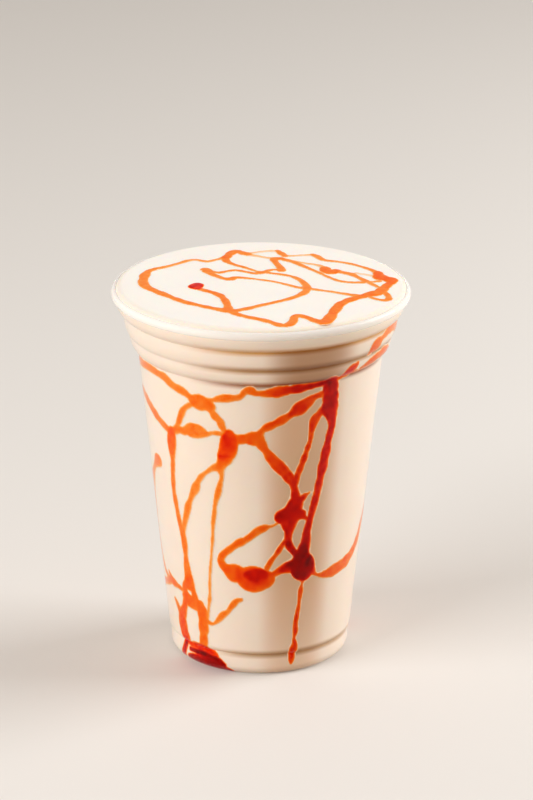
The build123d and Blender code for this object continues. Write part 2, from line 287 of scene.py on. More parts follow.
# Drizzle on the froth: the same, but each point is (right, back, width) in millimetres
TOP_STRANDS = (
    (0.56, 0.59, ((-33.6, 14.9, 1.7), (-35.7, 12.6, 2.1), (-36.8, 9, 2.6), (-37.2, 4.9, 2.9),
     (-37.3, 0.5, 2.9), (-36.1, -4.2, 3.1), (-33.2, -8.2, 2.8), (-29.9, -12.3, 2.6),
     (-26.6, -16.3, 2.6), (-23, -19.8, 2.4), (-19.1, -22.7, 2.2), (-14.7, -25.7, 2.5),
     (-9.7, -28.2, 3.4))),
    (0.56, 0.61, ((-9.4, -28.4, 3.2), (-7.6, -31, 2.5), (-4, -34, 2.4), (0.2, -36.5, 2.2),
     (3.8, -39.7, 2.5), (6.3, -42, 2.9), (8.3, -41.6, 3), (9.8, -38.3, 2.7), (10.4, -34, 2.6),
     (11.6, -32.2, 2.7), (14.3, -34.4, 2.3), (16.8, -37.4, 2.9), (18.8, -39, 3.6))),
    (0.66, 0.63, ((17.4, -38, 2.6), (19.2, -38.8, 3.8), (20.8, -35.8, 3.8), (22, -30.8, 3.3),
     (23.3, -25.8, 3.2), (24.8, -20.8, 3.1), (27.6, -16.7, 3), (30.8, -13.9, 3.2), (33.9, -11.4, 3.8),
     (36.8, -8.9, 4.2), (38.6, -5.1, 3.6), (40, -1.4, 2.8))),
    (0.7, 0.81, ((39.8, -1.8, 2.4), (41.4, 1.6, 3.2), (41, 4.3, 3.8), (38.4, 6.3, 4.8), (37.6, 9, 3.4),
     (37.4, 11.4, 2.4))),
    (0.54, 0.5, ((37.4, 11, 2.2), (36, 13.7, 1.8), (33.3, 16.9, 1.5), (29.5, 20.5, 1.5),
     (25.1, 23, 1.4), (21, 24.4, 1.6), (19.2, 26.6, 2.1), (18, 29.2, 2.2), (16.8, 30.4, 1.8))),
    (0.25, 0.27, ((16.8, 30.6, 1.6), (13.3, 30, 1.3), (10.1, 29.2, 1.3), (7.8, 28.9, 1.8))),
    (0.56, 0.52, ((7.8, 28.8, 2), (6.7, 31.6, 2.2), (5.4, 34.3, 1.8))),
    (0.2, 0.23, ((5.4, 34.5, 1.6), (2, 34.3, 1.4), (-1.8, 32.7, 1.3), (-4.6, 31, 2))),
    (0.54, 0.68, ((-4.2, 30.4, 2.6), (-6.6, 32.8, 3.1), (-8.6, 33.7, 2.9), (-10.2, 30.7, 2.5),
     (-11.5, 26.6, 2.8))),
    (0.45, 0.45, ((-11.5, 26.8, 2.2), (-14.3, 24.9, 1.6), (-17.4, 22.8, 1.6), (-21.1, 24.6, 1.7),
     (-23.8, 23.5, 1.7), (-26.1, 21.1, 1.6), (-29.9, 17.6, 1.6), (-33.6, 14.9, 1.8))),
    (0.63, 0.47, ((-11.6, 26.4, 2.6), (-11, 23, 2.1), (-8.9, 19.9, 1.5), (-5.5, 16.8, 1.4),
     (-2.4, 13.6, 1.2), (-0.4, 11.6, 1.4))),
    # the small peak in the middle
    (0.54, 0.56, ((-17.8, 14.2, 2.8), (-16.4, 12.6, 2.4), (-13.6, 10.9, 1.7), (-11.1, 12.3, 1.5),
     (-8, 13.5, 1.3), (-4.9, 11.9, 1.4), (-1.8, 10.4, 1.6), (0.8, 11.6, 2.4), (2.8, 13.9, 1.5),
     (5.1, 14.5, 1.4), (6.8, 13.3, 2.1), (5.9, 18, 2), (4.8, 21.8, 2), (4.3, 25.4, 2.4),
     (6.4, 26.1, 2.1))),
    (0.52, 0.47, ((6.2, 26.2, 2.1), (9.4, 23.6, 2), (12, 20.5, 1.6), (15.1, 16.1, 1.4),
     (18.3, 11.6, 1.3), (21.4, 7, 1.3), (24.5, 3.1, 1.3), (27.6, 1.5, 1.4), (31.4, 1.3, 1.6),
     (34.5, 1.7, 1.4), (37.6, 2.6, 1.4))),
    (0.25, 0.27, ((-4.6, 30.6, 2), (-1, 28.8, 1.4), (2.6, 26.8, 1.5), (6.2, 26.1, 1.8))),
    (0.27, 0.32, ((9.6, 23.6, 1.6), (14.5, 21.2, 1.3), (17.8, 19.6, 1.4), (20.4, 17, 1.8))),
    (0.63, 0.68, ((20.6, 15.6, 3), (20.9, 13.4, 3.4), (22.4, 12.2, 4), (24, 13.4, 3))),
    (0.52, 0.5, ((23.6, 13, 3.2), (26.2, 11.7, 2.6), (28.9, 9.6, 2), (31.2, 6.2, 1.6), (32.9, 3.4, 2.1),
     (35, -0.2, 1.5), (37, -3.5, 1.5))),
    (0.2, 0.2, ((30.4, 11, 1.2), (33, 9.8, 1.2), (36, 8, 1.3))),
    (0.56, 0.47, ((-17.4, 12.2, 2.4), (-15, 8.4, 2), (-11.9, 5, 2), (-9.7, 4.3, 2.5), (-8.2, 5.8, 2),
     (-5, 5.5, 1.4), (-0.5, 3.9, 1.2), (3.9, 1.8, 1.2), (7.6, -0.8, 1.3), (11.4, -3.8, 1.5),
     (14.4, -5.3, 2))),
    # the wide sweep under it, and the first drop
    (0.52, 0.56, ((2, 11.2, 1.5), (5.8, 9.7, 1.4), (9.5, 7.5, 1.5), (12.1, 4.3, 1.8), (13.7, 0.5, 2.1),
     (14.5, -3.3, 2.4), (14.5, -6.4, 2.5), (13.5, -9.7, 2.5), (11.9, -12.2, 2.2), (9, -15.6, 1.9),
     (6.4, -17.7, 1.9), (3.2, -20, 1.8), (-0.5, -22.7, 1.9), (-4.3, -25.7, 2.2), (-8, -28, 2.8))),
    (0.47, 0.47, ((15, -5.3, 1.8), (18.3, -6.7, 1.5), (22.4, -8.4, 1.4), (25.8, -10.2, 1.6),
     (29.6, -12.2, 2.2))),
    (1.3, 1.24, ((-20, -1.8, 3.4), (-20.6, -3.8, 4), (-19.9, -5.8, 3))),
    (0.63, 0.61, ((-19.6, -6, 2.2), (-17.6, -7.6, 2), (-15.3, -9.4, 2), (-13, -12.2, 2.2),
     (-11.4, -16.4, 2.2), (-10.5, -21.4, 2.2), (-9.9, -26.6, 2.5))),
    (0.56, 0.52, ((38.4, -7.4, 2), (39.7, -11.6, 1.5), (40, -15.1, 1.9), (38.9, -16.9, 2.1),
     (36.4, -15.8, 1.5), (33.7, -13.4, 1.5))),
)


def linear(colour):
    """The linear red, green, blue and alpha of an sRGB hex colour."""
    parts = [int(colour[at:at + 2], 16) / 255 for at in (1, 3, 5)]
    return [p / 12.92 if p <= 0.04045 else ((p + 0.055) / 1.055) ** 2.4 for p in parts] + [1.0]


def colour_property(name, description, colour):
    """A colour that a user can change."""
    return bpy.props.FloatVectorProperty(
        name=name, description=description, subtype="COLOR", size=4, min=0, max=1,
        default=linear(colour),
    )


def length_property(name, description, default):
    """A length in millimetres that a user can change."""
    return bpy.props.FloatProperty(name=name, description=description, default=default, min=0)


def level_property(name, description, default):
    """A level that a user can change, where 1 is full."""
    return bpy.props.FloatProperty(
        name=name, description=description, default=default, min=0, soft_max=1, subtype="FACTOR"
    )


class DrinkSettings(bpy.types.PropertyGroup):
    """Sizes and colours of the drink."""

    body: colour_property("Drink", "Colour of the drink through the wall", "#FAE9DB")
    # The froth is paler than the drink, and its colour is partly painted light on the brighter top
    froth: colour_property("Froth", "Colour of the froth on top", "#FFF8F0")
    # The edge tint is painted shade in the crease where the froth meets the rim
    edge: colour_property("Edge", "Tint of the froth where it meets the rim", "#F6F2EC")
    bite: length_property("Bite", "How far the drink reaches into the wall, mm", 0.15)
    ripple: length_property("Ripple", "Unevenness of the froth, mm", 0.04)
    steps: bpy.props.IntProperty(
        name="Steps", description="Steps in a full turn", default=256, min=32
    )


class SyrupSettings(bpy.types.PropertyGroup):
    """Sizes and colours of the syrup."""

    pitch: length_property("Pitch", "Spacing of the grid the syrup is cut from, mm", 0.38)
    wall_spread: length_property("Wall spread", "Width added to every run down the wall, mm", 0.45)
    top_spread: length_property("Drizzle spread", "Width added to the drizzle, mm", 0.4)
    web: length_property("Web", "How far two strands draw together where they meet, mm", 0.9)
    halo: length_property("Halo", "Width of the thin film round a strand, mm", 0.3)
    wall_fade: length_property("Wall fade", "Distance over which a run's edge fades, mm", 0.18)
    top_fade: length_property("Drizzle fade", "Distance over which the drizzle's edge fades, mm", 0.1)
    proud: length_property("Proud", "Height of the drizzle over the froth, mm", 0.3)
    thin: colour_property("Thin", "Colour of a thin strand", "#F9882A")
    full: colour_property("Full", "Colour of a full strand", "#F44800")
    thick: colour_property("Thick", "Colour of a thick run", "#AE0300")
    deep: colour_property("Deep", "Colour where the syrup has pooled", "#680000")


class PlasticSettings(bpy.types.PropertyGroup):
    """Finish of the cup."""

    tint: colour_property("Tint", "Colour of the plastic", "#FDFDFC")
    gloss: level_property("Roughness", "Roughness of the moulded skin", 0.12)
    frost: level_property("Frost", "How cloudy the rolled edge is", 0.68)


class StageSettings(bpy.types.PropertyGroup):
    """Floor, lamps and camera."""

    floor: colour_property("Floor", "Colour of the floor", "#E4E1DD")
    even: colour_property("Even light", "Colour of the even light", "#FFF1E2")
    bounce: colour_property("Bounce", "Colour of the floor as it lights the drink", "#C2B4A4")
    sky: colour_property("Backdrop", "Colour behind everything", "#EEECE9")
    fill: level_property("Fill", "Level of the even light", 0.38)
    key: level_property("Key", "Level of the main lamp", 0.79)
    back: level_property("Back", "Level of the lamp behind", 0.92)


def add_node(tree, kind, inputs=(), stops=(), **settings):
    """Adds a node: inputs are values or sockets to link, stops are a ramp's places and colours."""
    node = tree.nodes.new("ShaderNode" + kind)
    for name, value in settings.items():
        setattr(node, name, value)
    for name, value in dict(inputs).items():
        if isinstance(value, bpy.types.NodeSocket):
            tree.links.new(value, node.inputs[name])
        else:
            node.inputs[name].default_value = value
    for number, (place, colour) in enumerate(stops):
        if number < 2:
            stop = node.color_ramp.elements[number]
            stop.position = place
        else:
            stop = node.color_ramp.elements.new(place)
        stop.color = colour
    return node


def new_material(name):
    """An empty node material and its tree."""
    material = bpy.data.materials.new(name)
    material.use_nodes = True
    material.node_tree.nodes.clear()
    return material, material.node_tree


def place_in_mm(tree):
    """Object coordinates in millimetres."""
    where = add_node(tree, "TexCoord")
    return add_node(
        tree, "VectorMath", {0: where.outputs["Object"], "Scale": 1 / MM}, operation="SCALE"
    ).outputs[0]


def clear_polypropylene(settings):
    """Thermoformed sheet, 0.6 mm: clear, with a soft gloss and faint draw marks down the wall."""
    material, tree = new_material("clear_polypropylene")
    place = place_in_mm(tree)
    # Draw marks run down the wall about 5 mm apart, and are stretched ten times as long
    marks = add_node(tree, "Mapping", {"Vector": place, "Scale": (0.2, 0.2, 0.02)})
    drawn = add_node(tree, "TexNoise", {"Vector": marks.outputs[0], "Scale": 1.0, "Detail": 2.0})
    rough = add_node(
        tree, "MapRange", {"Value": drawn.outputs[0], "From Min": 0.35, "From Max": 0.65,
                           "To Min": settings.gloss * 0.75, "To Max": settings.gloss * 1.35},
    )
    bump = add_node(
        tree, "Bump", {"Height": drawn.outputs[0], "Strength": 0.15, "Distance": 0.02 * MM}
    )
    # The rolled edge is several layers of sheet with air between, so it looks frosted
    rolled = add_node(
        tree, "MapRange", {"Value": add_node(tree, "SeparateXYZ", {"Vector": place}).outputs["Z"],
                           "From Min": RIM_HEIGHT - RIM_ROLL_HEIGHT - 0.1,
                           "From Max": RIM_HEIGHT - RIM_ROLL_HEIGHT + 0.2,
                           "To Min": 1.0, "To Max": 1 - settings.frost},
    )
    plastic = add_node(
        tree, "BsdfPrincipled",
        {"Base Color": settings.tint, "Roughness": rough.outputs[0], "IOR": 1.49,
         "Specular Tint": (0.1, 0.1, 0.1, 1), "Transmission Weight": rolled.outputs[0],
         "Normal": bump.outputs[0]},
    )
    # Lamps and the drink's own scattered light pass the thin wall unbent
    path = add_node(tree, "LightPath")
    clear = add_node(tree, "BsdfTransparent")
    inner = add_node(
        tree, "MixShader",
        {0: path.outputs["Is Diffuse Ray"], 1: plastic.outputs[0], 2: clear.outputs[0]},
    )
    outer = add_node(
        tree, "MixShader", {0: path.outputs["Is Shadow Ray"], 1: inner.outputs[0], 2: clear.outputs[0]}
    )
    add_node(tree, "OutputMaterial", {"Surface": outer.outputs[0]})
    return material


def whipped_milk(settings):
    """Blended ice cream and milk: dense, creamy and soft-edged, with a whiter froth on top, partly
    painted light.
    """
    material, tree = new_material("whipped_milk")
    place = place_in_mm(tree)
    height = add_node(tree, "SeparateXYZ", {"Vector": place})
    # Froth starts just under the crest of the rim; it is paler, and partly painted light on the brighter
    # top
    frothy = add_node(
        tree, "MapRange", {"Value": height.outputs["Z"], "From Min": RIM_HEIGHT - 1.1,
                           "From Max": RIM_HEIGHT - 0.2},
    )
    base = add_node(
        tree, "Mix", {0: frothy.outputs[0], 6: settings.body, 7: settings.froth}, data_type="RGBA"
    )
    # Clouding in patches of about 14 mm, where froth and milk have not quite blended
    clouds = add_node(tree, "TexNoise", {"Vector": place, "Scale": 1 / 14, "Detail": 3.0})
    cloudy = add_node(
        tree, "MapRange", {"Value": clouds.outputs[0], "From Min": 0.3, "From Max": 0.7,
                           "To Min": 0.985, "To Max": 1.01},
    )
    colour = add_node(
        tree, "VectorMath", {0: base.outputs[2], "Scale": cloudy.outputs[0]}, operation="SCALE"
    ).outputs[0]
    # Painted shade, strongest at the front right: ochre in the steps, fainter on the collar and the wall
    share = add_node(tree, "Math", {0: height.outputs["Z"], 1: 1 / RIM_HEIGHT}, operation="MULTIPLY")
    flat = add_node(tree, "VectorMath", {0: place, 1: (1, 1, 0)}, operation="MULTIPLY")
    facing = add_node(tree, "VectorMath", {0: flat.outputs[0]}, operation="NORMALIZE")
    for stops, (turn, least, most) in (
        (step_shade_stops(), STEP_SHADE_FACING), (collar_shade_stops(), COLLAR_SHADE_FACING), (wall_shade_stops(), WALL_SHADE_FACING),
    ):
        heading = (math.sin(math.radians(turn)), -math.cos(math.radians(turn)), 0)
        shade = add_node(tree, "ValToRGB", {"Fac": share.outputs[0]}, stops=stops)
        near = add_node(
            tree, "VectorMath", {0: facing.outputs[0], 1: heading}, operation="DOT_PRODUCT"
        )
        painted_shade_share = add_node(
            tree, "MapRange", {"Value": near.outputs["Value"], "From Min": least, "From Max": most},
            interpolation_type="SMOOTHSTEP",
        )
        colour = add_node(
            tree, "Mix", {0: painted_shade_share.outputs[0], 6: colour, 7: shade.outputs[0]}, data_type="RGBA",
            blend_type="MULTIPLY",
        ).outputs[2]
    # Painted shade: the froth is greyer where it runs down to the rim, in the crease along its crest
    radius = add_node(tree, "VectorMath", {0: flat.outputs[0]}, operation="LENGTH")
    edge = add_node(
        tree, "MapRange", {"Value": radius.outputs["Value"], "From Min": FROTH_EDGE - 0.3,
                           "From Max": FROTH_EDGE + 2},
    )
    over = add_node(
        tree, "MapRange", {"Value": height.outputs["Z"], "From Min": RIM_HEIGHT - 0.9,
                           "From Max": RIM_HEIGHT - 0.6},
    )
    edge = add_node(tree, "Math", {0: edge.outputs[0], 1: over.outputs[0]}, operation="MULTIPLY")
    colour = add_node(
        tree, "Mix", {0: edge.outputs[0], 6: colour, 7: settings.edge}, data_type="RGBA",
        blend_type="MULTIPLY",
    ).outputs[2]
    # Pin bubbles of about 0.5 mm in the froth
    bubbles = add_node(tree, "TexNoise", {"Vector": place, "Scale": 2.0, "Detail": 2.0})
    bump = add_node(
        tree, "Bump", {"Height": bubbles.outputs[0], "Strength": 0.12, "Distance": 0.05 * MM}
    )
    milk = add_node(
        tree, "BsdfPrincipled",
        {"Base Color": colour, "Roughness": 0.5, "IOR": 1.35, "Specular IOR Level": 0.1,
         "Subsurface Weight": 0.5, "Subsurface Radius": (1.0, 0.62, 0.38),
         "Subsurface Scale": 1.2 * MM, "Normal": bump.outputs[0]},
    )
    add_node(tree, "OutputMaterial", {"Surface": milk.outputs[0]})
    return material


def fruit_syrup(name, settings, cream, gloss):
    """Clear red syrup over cream: orange where the film is thin, dark red where it is deep."""
    material, tree = new_material(name)
    place = place_in_mm(tree)
    film = add_node(tree, "Attribute", attribute_name="film")
    # Slight unevenness of the film in patches of about 2 mm
    noise = add_node(tree, "TexNoise", {"Vector": place, "Scale": 0.5, "Detail": 2.0})
    spread = add_node(
        tree, "MapRange", {"Value": noise.outputs[0], "From Min": 0.3, "From Max": 0.7,
                           "To Min": 0.43, "To Max": 0.57},
    )
    depth = add_node(
        tree, "Math", {0: film.outputs["Fac"], 1: spread.outputs[0]}, operation="MULTIPLY"
    )
    ramp = add_node(
        tree, "ValToRGB", {"Fac": depth.outputs[0]},
        stops=((0.0, cream), (1.0, settings.deep), (0.06, linear("#FCE0C6")),
               (0.125, linear("#FBBB7A")), (0.2, linear("#FB9C46")), (0.275, settings.thin),
               (0.375, linear("#F76A0A")), (0.5, settings.full), (0.6, linear("#E42200")),
               (0.7, linear("#CE0A00")), (0.8, settings.thick), (0.9, linear("#920100"))),
    )
    syrup = add_node(
        tree, "BsdfPrincipled",
        {"Base Color": ramp.outputs[0], "Roughness": 0.3, "IOR": 1.45, "Specular IOR Level": gloss},
    )
    add_node(tree, "OutputMaterial", {"Surface": syrup.outputs[0]})
    return material


def groove_levels():
    """Heights of the steps in the wall, in mm, from the top down."""
    lift = (WALL - bpy.context.scene.drink_settings.bite) / 2
    steps = np.cumsum([height for height, tuck in BANDS])
    return [RIM_HEIGHT - RIM_ROLL_HEIGHT - step + lift for step in steps] + [FOOT_HEIGHT + lift]


def step_shade_stops():
    """Stops, by height, of the painted shade in each step of the wall."""
    white = linear("#FFFFFF")
    stops = [(0.0, white), (1.0, white)]
    for level, tint in zip(groove_levels(), STEP_SHADE_TINTS):
        for offset, colour in zip(STEP_SHADE_FADE, (white, linear(tint), linear(tint), white)):
            stops.append(((level + offset) / RIM_HEIGHT, colour))
    return stops


def collar_shade_stops():
    """Stops, by height, of the painted shade behind the whole collar."""
    white, tint = linear("#FFFFFF"), linear(COLLAR_SHADE_TINT)
    collar_top, collar_foot = groove_levels()[:3:2]
    below, above = COLLAR_SHADE_FADE
    return (
        (0.0, white), (1.0, white), ((collar_foot - below) / RIM_HEIGHT, white),
        (collar_foot / RIM_HEIGHT, tint), (collar_top / RIM_HEIGHT, tint),
        ((collar_top + above) / RIM_HEIGHT, white),
    )


def wall_shade_stops():
    """Stops, by height, of the painted shade behind the straight wall."""
    white, tint, weak = linear("#FFFFFF"), linear(WALL_SHADE_TINT), linear(FOOT_SHADE_TINT)
    wall_top, wall_foot = groove_levels()[2:4]
    rise, end = WALL_SHADE_FADE
    return (
        (0.0, weak), (1.0, white), (wall_foot / RIM_HEIGHT, weak),
        ((wall_foot + rise) / RIM_HEIGHT, tint), ((wall_top - end) / RIM_HEIGHT, tint),
        ((wall_top + end) / RIM_HEIGHT, white),
    )


def edge_curve(start, corner, end, steps):
    """Points of a quadratic curve from start to end, without the start."""
    share = np.linspace(0, 1, steps + 1)[1:, None]
    start, corner, end = (np.array(p, float) for p in (start, corner, end))
    return (1 - share) ** 2 * start + 2 * share * (1 - share) * corner + share ** 2 * end


def straight(start, end, pitch):
    """Points from start to end about a pitch apart, without the start."""
    start, end = np.array(start, float), np.array(end, float)
    steps = max(1, round(np.linalg.norm(end - start) / pitch))
    return start + (end - start) * np.linspace(0, 1, steps + 1)[1:, None]


def side_outline(inset, pitch):
    """Half section from the crest of the rim down to the land of the foot, at a depth in the wall."""
    lift = inset / 2
    turn = np.radians(np.linspace(90, 180, 9))[:, None]
    half_height = RIM_ROLL_HEIGHT / 2 - (WALL - inset)
    radius = RIM_RADIUS - RIM_ROLL_WIDTH + WALL
    height = RIM_HEIGHT - RIM_ROLL_HEIGHT
    neck_radius = radius - inset
    half_width = ROLL_CREST - neck_radius
    line = [np.hstack((ROLL_CREST + half_width * np.cos(turn), ROLL_MIDDLE + half_height * np.sin(turn)))]
    line.append(straight((neck_radius, ROLL_MIDDLE), (neck_radius, height + lift), pitch))
    for band_height, tuck in BANDS:
        corner = (radius - BAND_LEAN - inset, height - band_height + BAND_LIP + lift)
        low = (radius - tuck - inset, height - band_height + lift)
        steps = round(band_height / pitch) + 8
        line.append(edge_curve((radius - inset, height + lift), corner, low, steps))
        radius, height = radius - tuck, height - band_height
    edge = (FOOT_RADIUS + WALL_OVERHANG - inset, FOOT_HEIGHT + WALL_EDGE_HEIGHT + lift)
    groove = (FOOT_RADIUS - GROOVE_DEPTH - inset, FOOT_HEIGHT + lift)
    ring = (FOOT_RADIUS - inset, FOOT_HEIGHT - RING_EDGE_HEIGHT + lift)
    line.append(straight(line[-1][-1], edge, pitch))
    line.append(edge_curve(edge, (edge[0], groove[1] + GROOVE_DEPTH), groove, 8))
    line.append(edge_curve(groove, (ring[0], groove[1]), ring, 6))
    line.append(straight(ring, (ring[0], FOOT_ROUNDING), pitch))
    down = np.radians(np.linspace(0, -90, 10))[1:, None]
    land = FOOT_RADIUS - FOOT_ROUNDING
    arc = FOOT_ROUNDING - inset
    line.append(np.hstack((land + arc * np.cos(down), FOOT_ROUNDING + arc * np.sin(down))))
    return np.vstack(line)


def froth_height(x, y, settings):
    """Height of the froth's surface over the flat of it, in mm, at a place in mm."""
    slant = 0.6       # height of a slanting wave against the lumps, which are 15 to 18 mm wide
    fade_width = 8    # the froth lies smooth at its edge, and is uneven this far in
    lumps = np.sin(0.21 * x + 0.9) * np.sin(0.17 * y + 2.1)
    wave = lumps + slant * np.sin(0.33 * x - 0.26 * y + 0.4)
    fade = np.clip((FROTH_EDGE - np.hypot(x, y)) / fade_width, 0, 1)
    return settings.ripple * wave / (1 + slant) * fade


def froth_top():
    """Height of the flat of the froth: the drizzle on it stays inside the CAD box."""
    scene = bpy.context.scene
    clearance = 0.01
    return CAD_BOX[1].z / MM - scene.syrup_settings.proud - scene.drink_settings.ripple - clearance


def clear_selection():
    """Leaves object mode with nothing selected."""
    if bpy.context.mode != "OBJECT":
        bpy.ops.object.mode_set(mode="OBJECT")
    bpy.ops.object.select_all(action="DESELECT")


def dress(piece, name, material):
    """Names a finished piece, gives it its material and rides it on the cup."""
    piece.name = name
    piece.data.name = name
    piece.data.materials.clear()
    piece.data.materials.append(material)
    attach(piece, "root")


def turn_outline(outline, steps):
    """A closed body turned about Z from a half outline in mm that starts and ends on the axis."""
    clear_selection()
    bpy.ops.mesh.primitive_plane_add(size=MM)
    piece = bpy.context.active_object
    bpy.ops.object.mode_set(mode="EDIT")
    bpy.ops.mesh.select_all(action="SELECT")
    bpy.ops.mesh.merge(type="CENTER")
    bpy.ops.transform.translate(value=(outline[0][0] * MM, 0, outline[0][1] * MM))
    for across, up in np.diff(outline, axis=0) * MM:
        bpy.ops.mesh.extrude_vertices_move(TRANSFORM_OT_translate={"value": (across, 0, up)})
    bpy.ops.mesh.select_all(action="SELECT")
    bpy.ops.mesh.spin(steps=steps, angle=2 * math.pi, center=(0, 0, 0), axis=(0, 0, 1))
    bpy.ops.mesh.select_all(action="SELECT")
    bpy.ops.mesh.remove_doubles(threshold=0.001 * MM)
    bpy.ops.mesh.normals_make_consistent(inside=False)
    bpy.ops.object.mode_set(mode="OBJECT")
    bpy.ops.object.shade_smooth_by_angle(angle=math.radians(50))
    return piece


def places_round_wall(turns, line):
    """The points, in mm, of each (turn, point of the line) pair, as an array of rows and columns."""
    radius, height = line[:, 0][:, None], line[:, 1][:, None]
    return np.stack((radius * np.sin(turns), -radius * np.cos(turns), height + 0 * turns), axis=-1)


def smooth_run(points, pitch):
    """Points about a pitch apart on a smooth line through the given ones, widths included."""
    points = np.array(points, float)
    ends = np.vstack((2 * points[0] - points[1], points, 2 * points[-1] - points[-2]))
    run = [points[:1]]
    for before, start, end, after in zip(ends, ends[1:], ends[2:], ends[3:]):
        steps = max(2, math.ceil(np.linalg.norm((end - start)[:2]) / pitch))
        t = np.linspace(0, 1, steps + 1)[1:, None]
        run.append(0.5 * (2 * start + (end - before) * t
                          + (2 * before - 5 * start + 4 * end - after) * t ** 2
                          + (3 * start - before - 3 * end + after) * t ** 3))
    return np.vstack(run)


def soft_noise(places, size, seed):
    """Smooth noise from -1 to 1 at places in mm, with waves of about a size."""
    random = np.random.default_rng(seed)
    total = np.zeros(places.shape[:-1])
    waves = 9
    for _ in range(waves):
        heading = random.normal(size=places.shape[-1])
        heading *= 2 * math.pi / size / np.linalg.norm(heading) * random.uniform(0.6, 1.5)
        total += np.sin(places @ heading + random.uniform(0, 2 * math.pi))
    return total / math.sqrt(waves)


def join_softly(one, other, web):
    """The larger of two fields, with the corner between them filled over a width of web."""
    near = np.maximum(web - np.abs(one - other), 0)
    return np.maximum(one, other) + near ** 2 / (4 * web)


def sample(field, rows, columns):
    """Values of a field between its rows and columns."""
    top, left = field.shape[0] - 1, field.shape[1] - 1
    rows, columns = np.clip(rows, 0, top), np.clip(columns, 0, left)
    row, column = np.minimum(rows.astype(int), top - 1), np.minimum(columns.astype(int), left - 1)
    down, along = rows - row, columns - column
    near = field[row, column] * (1 - along) + field[row, column + 1] * along
    far = field[row + 1, column] * (1 - along) + field[row + 1, column + 1] * along
    return near * (1 - down) + far * down


def cut_film(depth, halo):
    """A flat lens in a unit-spaced grid: it is as thick as the depth and closed at its edge."""
    rows, columns = depth.shape
    clear_selection()
    bpy.ops.mesh.primitive_grid_add(x_subdivisions=columns - 1, y_subdivisions=rows - 1, size=1)
    piece = bpy.context.active_object
    bpy.ops.object.mode_set(mode="EDIT")
    bpy.ops.mesh.select_all(action="SELECT")
    bpy.ops.transform.resize(value=(columns - 1, rows - 1, 1))
    bpy.ops.transform.translate(value=((columns - 1) / 2, (rows - 1) / 2, 0))
    bpy.ops.mesh.select_all(action="DESELECT")
    bpy.ops.object.mode_set(mode="OBJECT")
    spots = read_points(piece)
    spots[:, 2] = sample(depth, spots[:, 1], spots[:, 0]) + halo
    piece.data.vertices.foreach_set("co", spots.ravel())
    piece.data.vertices.foreach_set("select", spots[:, 2] < FAR_OFF)
    bpy.ops.object.mode_set(mode="EDIT")
    bpy.ops.mesh.delete(type="VERT")
    bpy.ops.mesh.select_all(action="SELECT")
    bpy.ops.mesh.bisect(plane_co=(0, 0, 0), plane_no=(0, 0, 1), clear_inner=True)
    bpy.ops.mesh.select_all(action="SELECT")
    bpy.ops.mesh.duplicate()
    bpy.ops.mesh.flip_normals()
    bpy.ops.transform.resize(value=(1, 1, -1), center_override=(0, 0, 0))
    bpy.ops.mesh.select_all(action="SELECT")
    bpy.ops.mesh.remove_doubles(threshold=0.0001)
    bpy.ops.object.mode_set(mode="OBJECT")
    return piece


def read_points(piece):
    """The piece's vertices as rows of x, y and z."""
    spots = np.empty(len(piece.data.vertices) * 3)
    piece.data.vertices.foreach_get("co", spots)
    return spots.reshape(-1, 3)


def close_film(piece, places, film):
    """Moves a cut film to its places, in mm, welds it shut and stores how thick the syrup looks."""
    piece.data.vertices.foreach_set("co", (places * MM).ravel())
    weld = 0.002 * MM
    layer = piece.data.attributes.new("film", "FLOAT", "POINT")
    layer.data.foreach_set("value", film)
    clear_selection()
    piece.select_set(True)
    bpy.context.view_layer.objects.active = piece
    bpy.ops.object.mode_set(mode="EDIT")
    bpy.ops.mesh.select_all(action="SELECT")
    bpy.ops.mesh.remove_doubles(threshold=weld)
    bpy.ops.mesh.dissolve_degenerate(threshold=weld)
    bpy.ops.mesh.fill_holes(sides=6)
    bpy.ops.mesh.normals_make_consistent(inside=False)
    bpy.ops.object.mode_set(mode="OBJECT")
    bpy.ops.object.shade_smooth()


def lens(inside, proud, sink, edge):
    """Height of a film's two faces: proud of its seat on the shown side, sunk on the other."""
    face_rise, back_rise = 0.35, 0.9    # a face has risen most of the way this far inside the edge
    face = 1 - np.exp(-np.maximum(inside, 0) / face_rise)
    back = 1 - np.exp(-np.maximum(-inside, 0) / back_rise)
    return proud * face - sink * back - edge


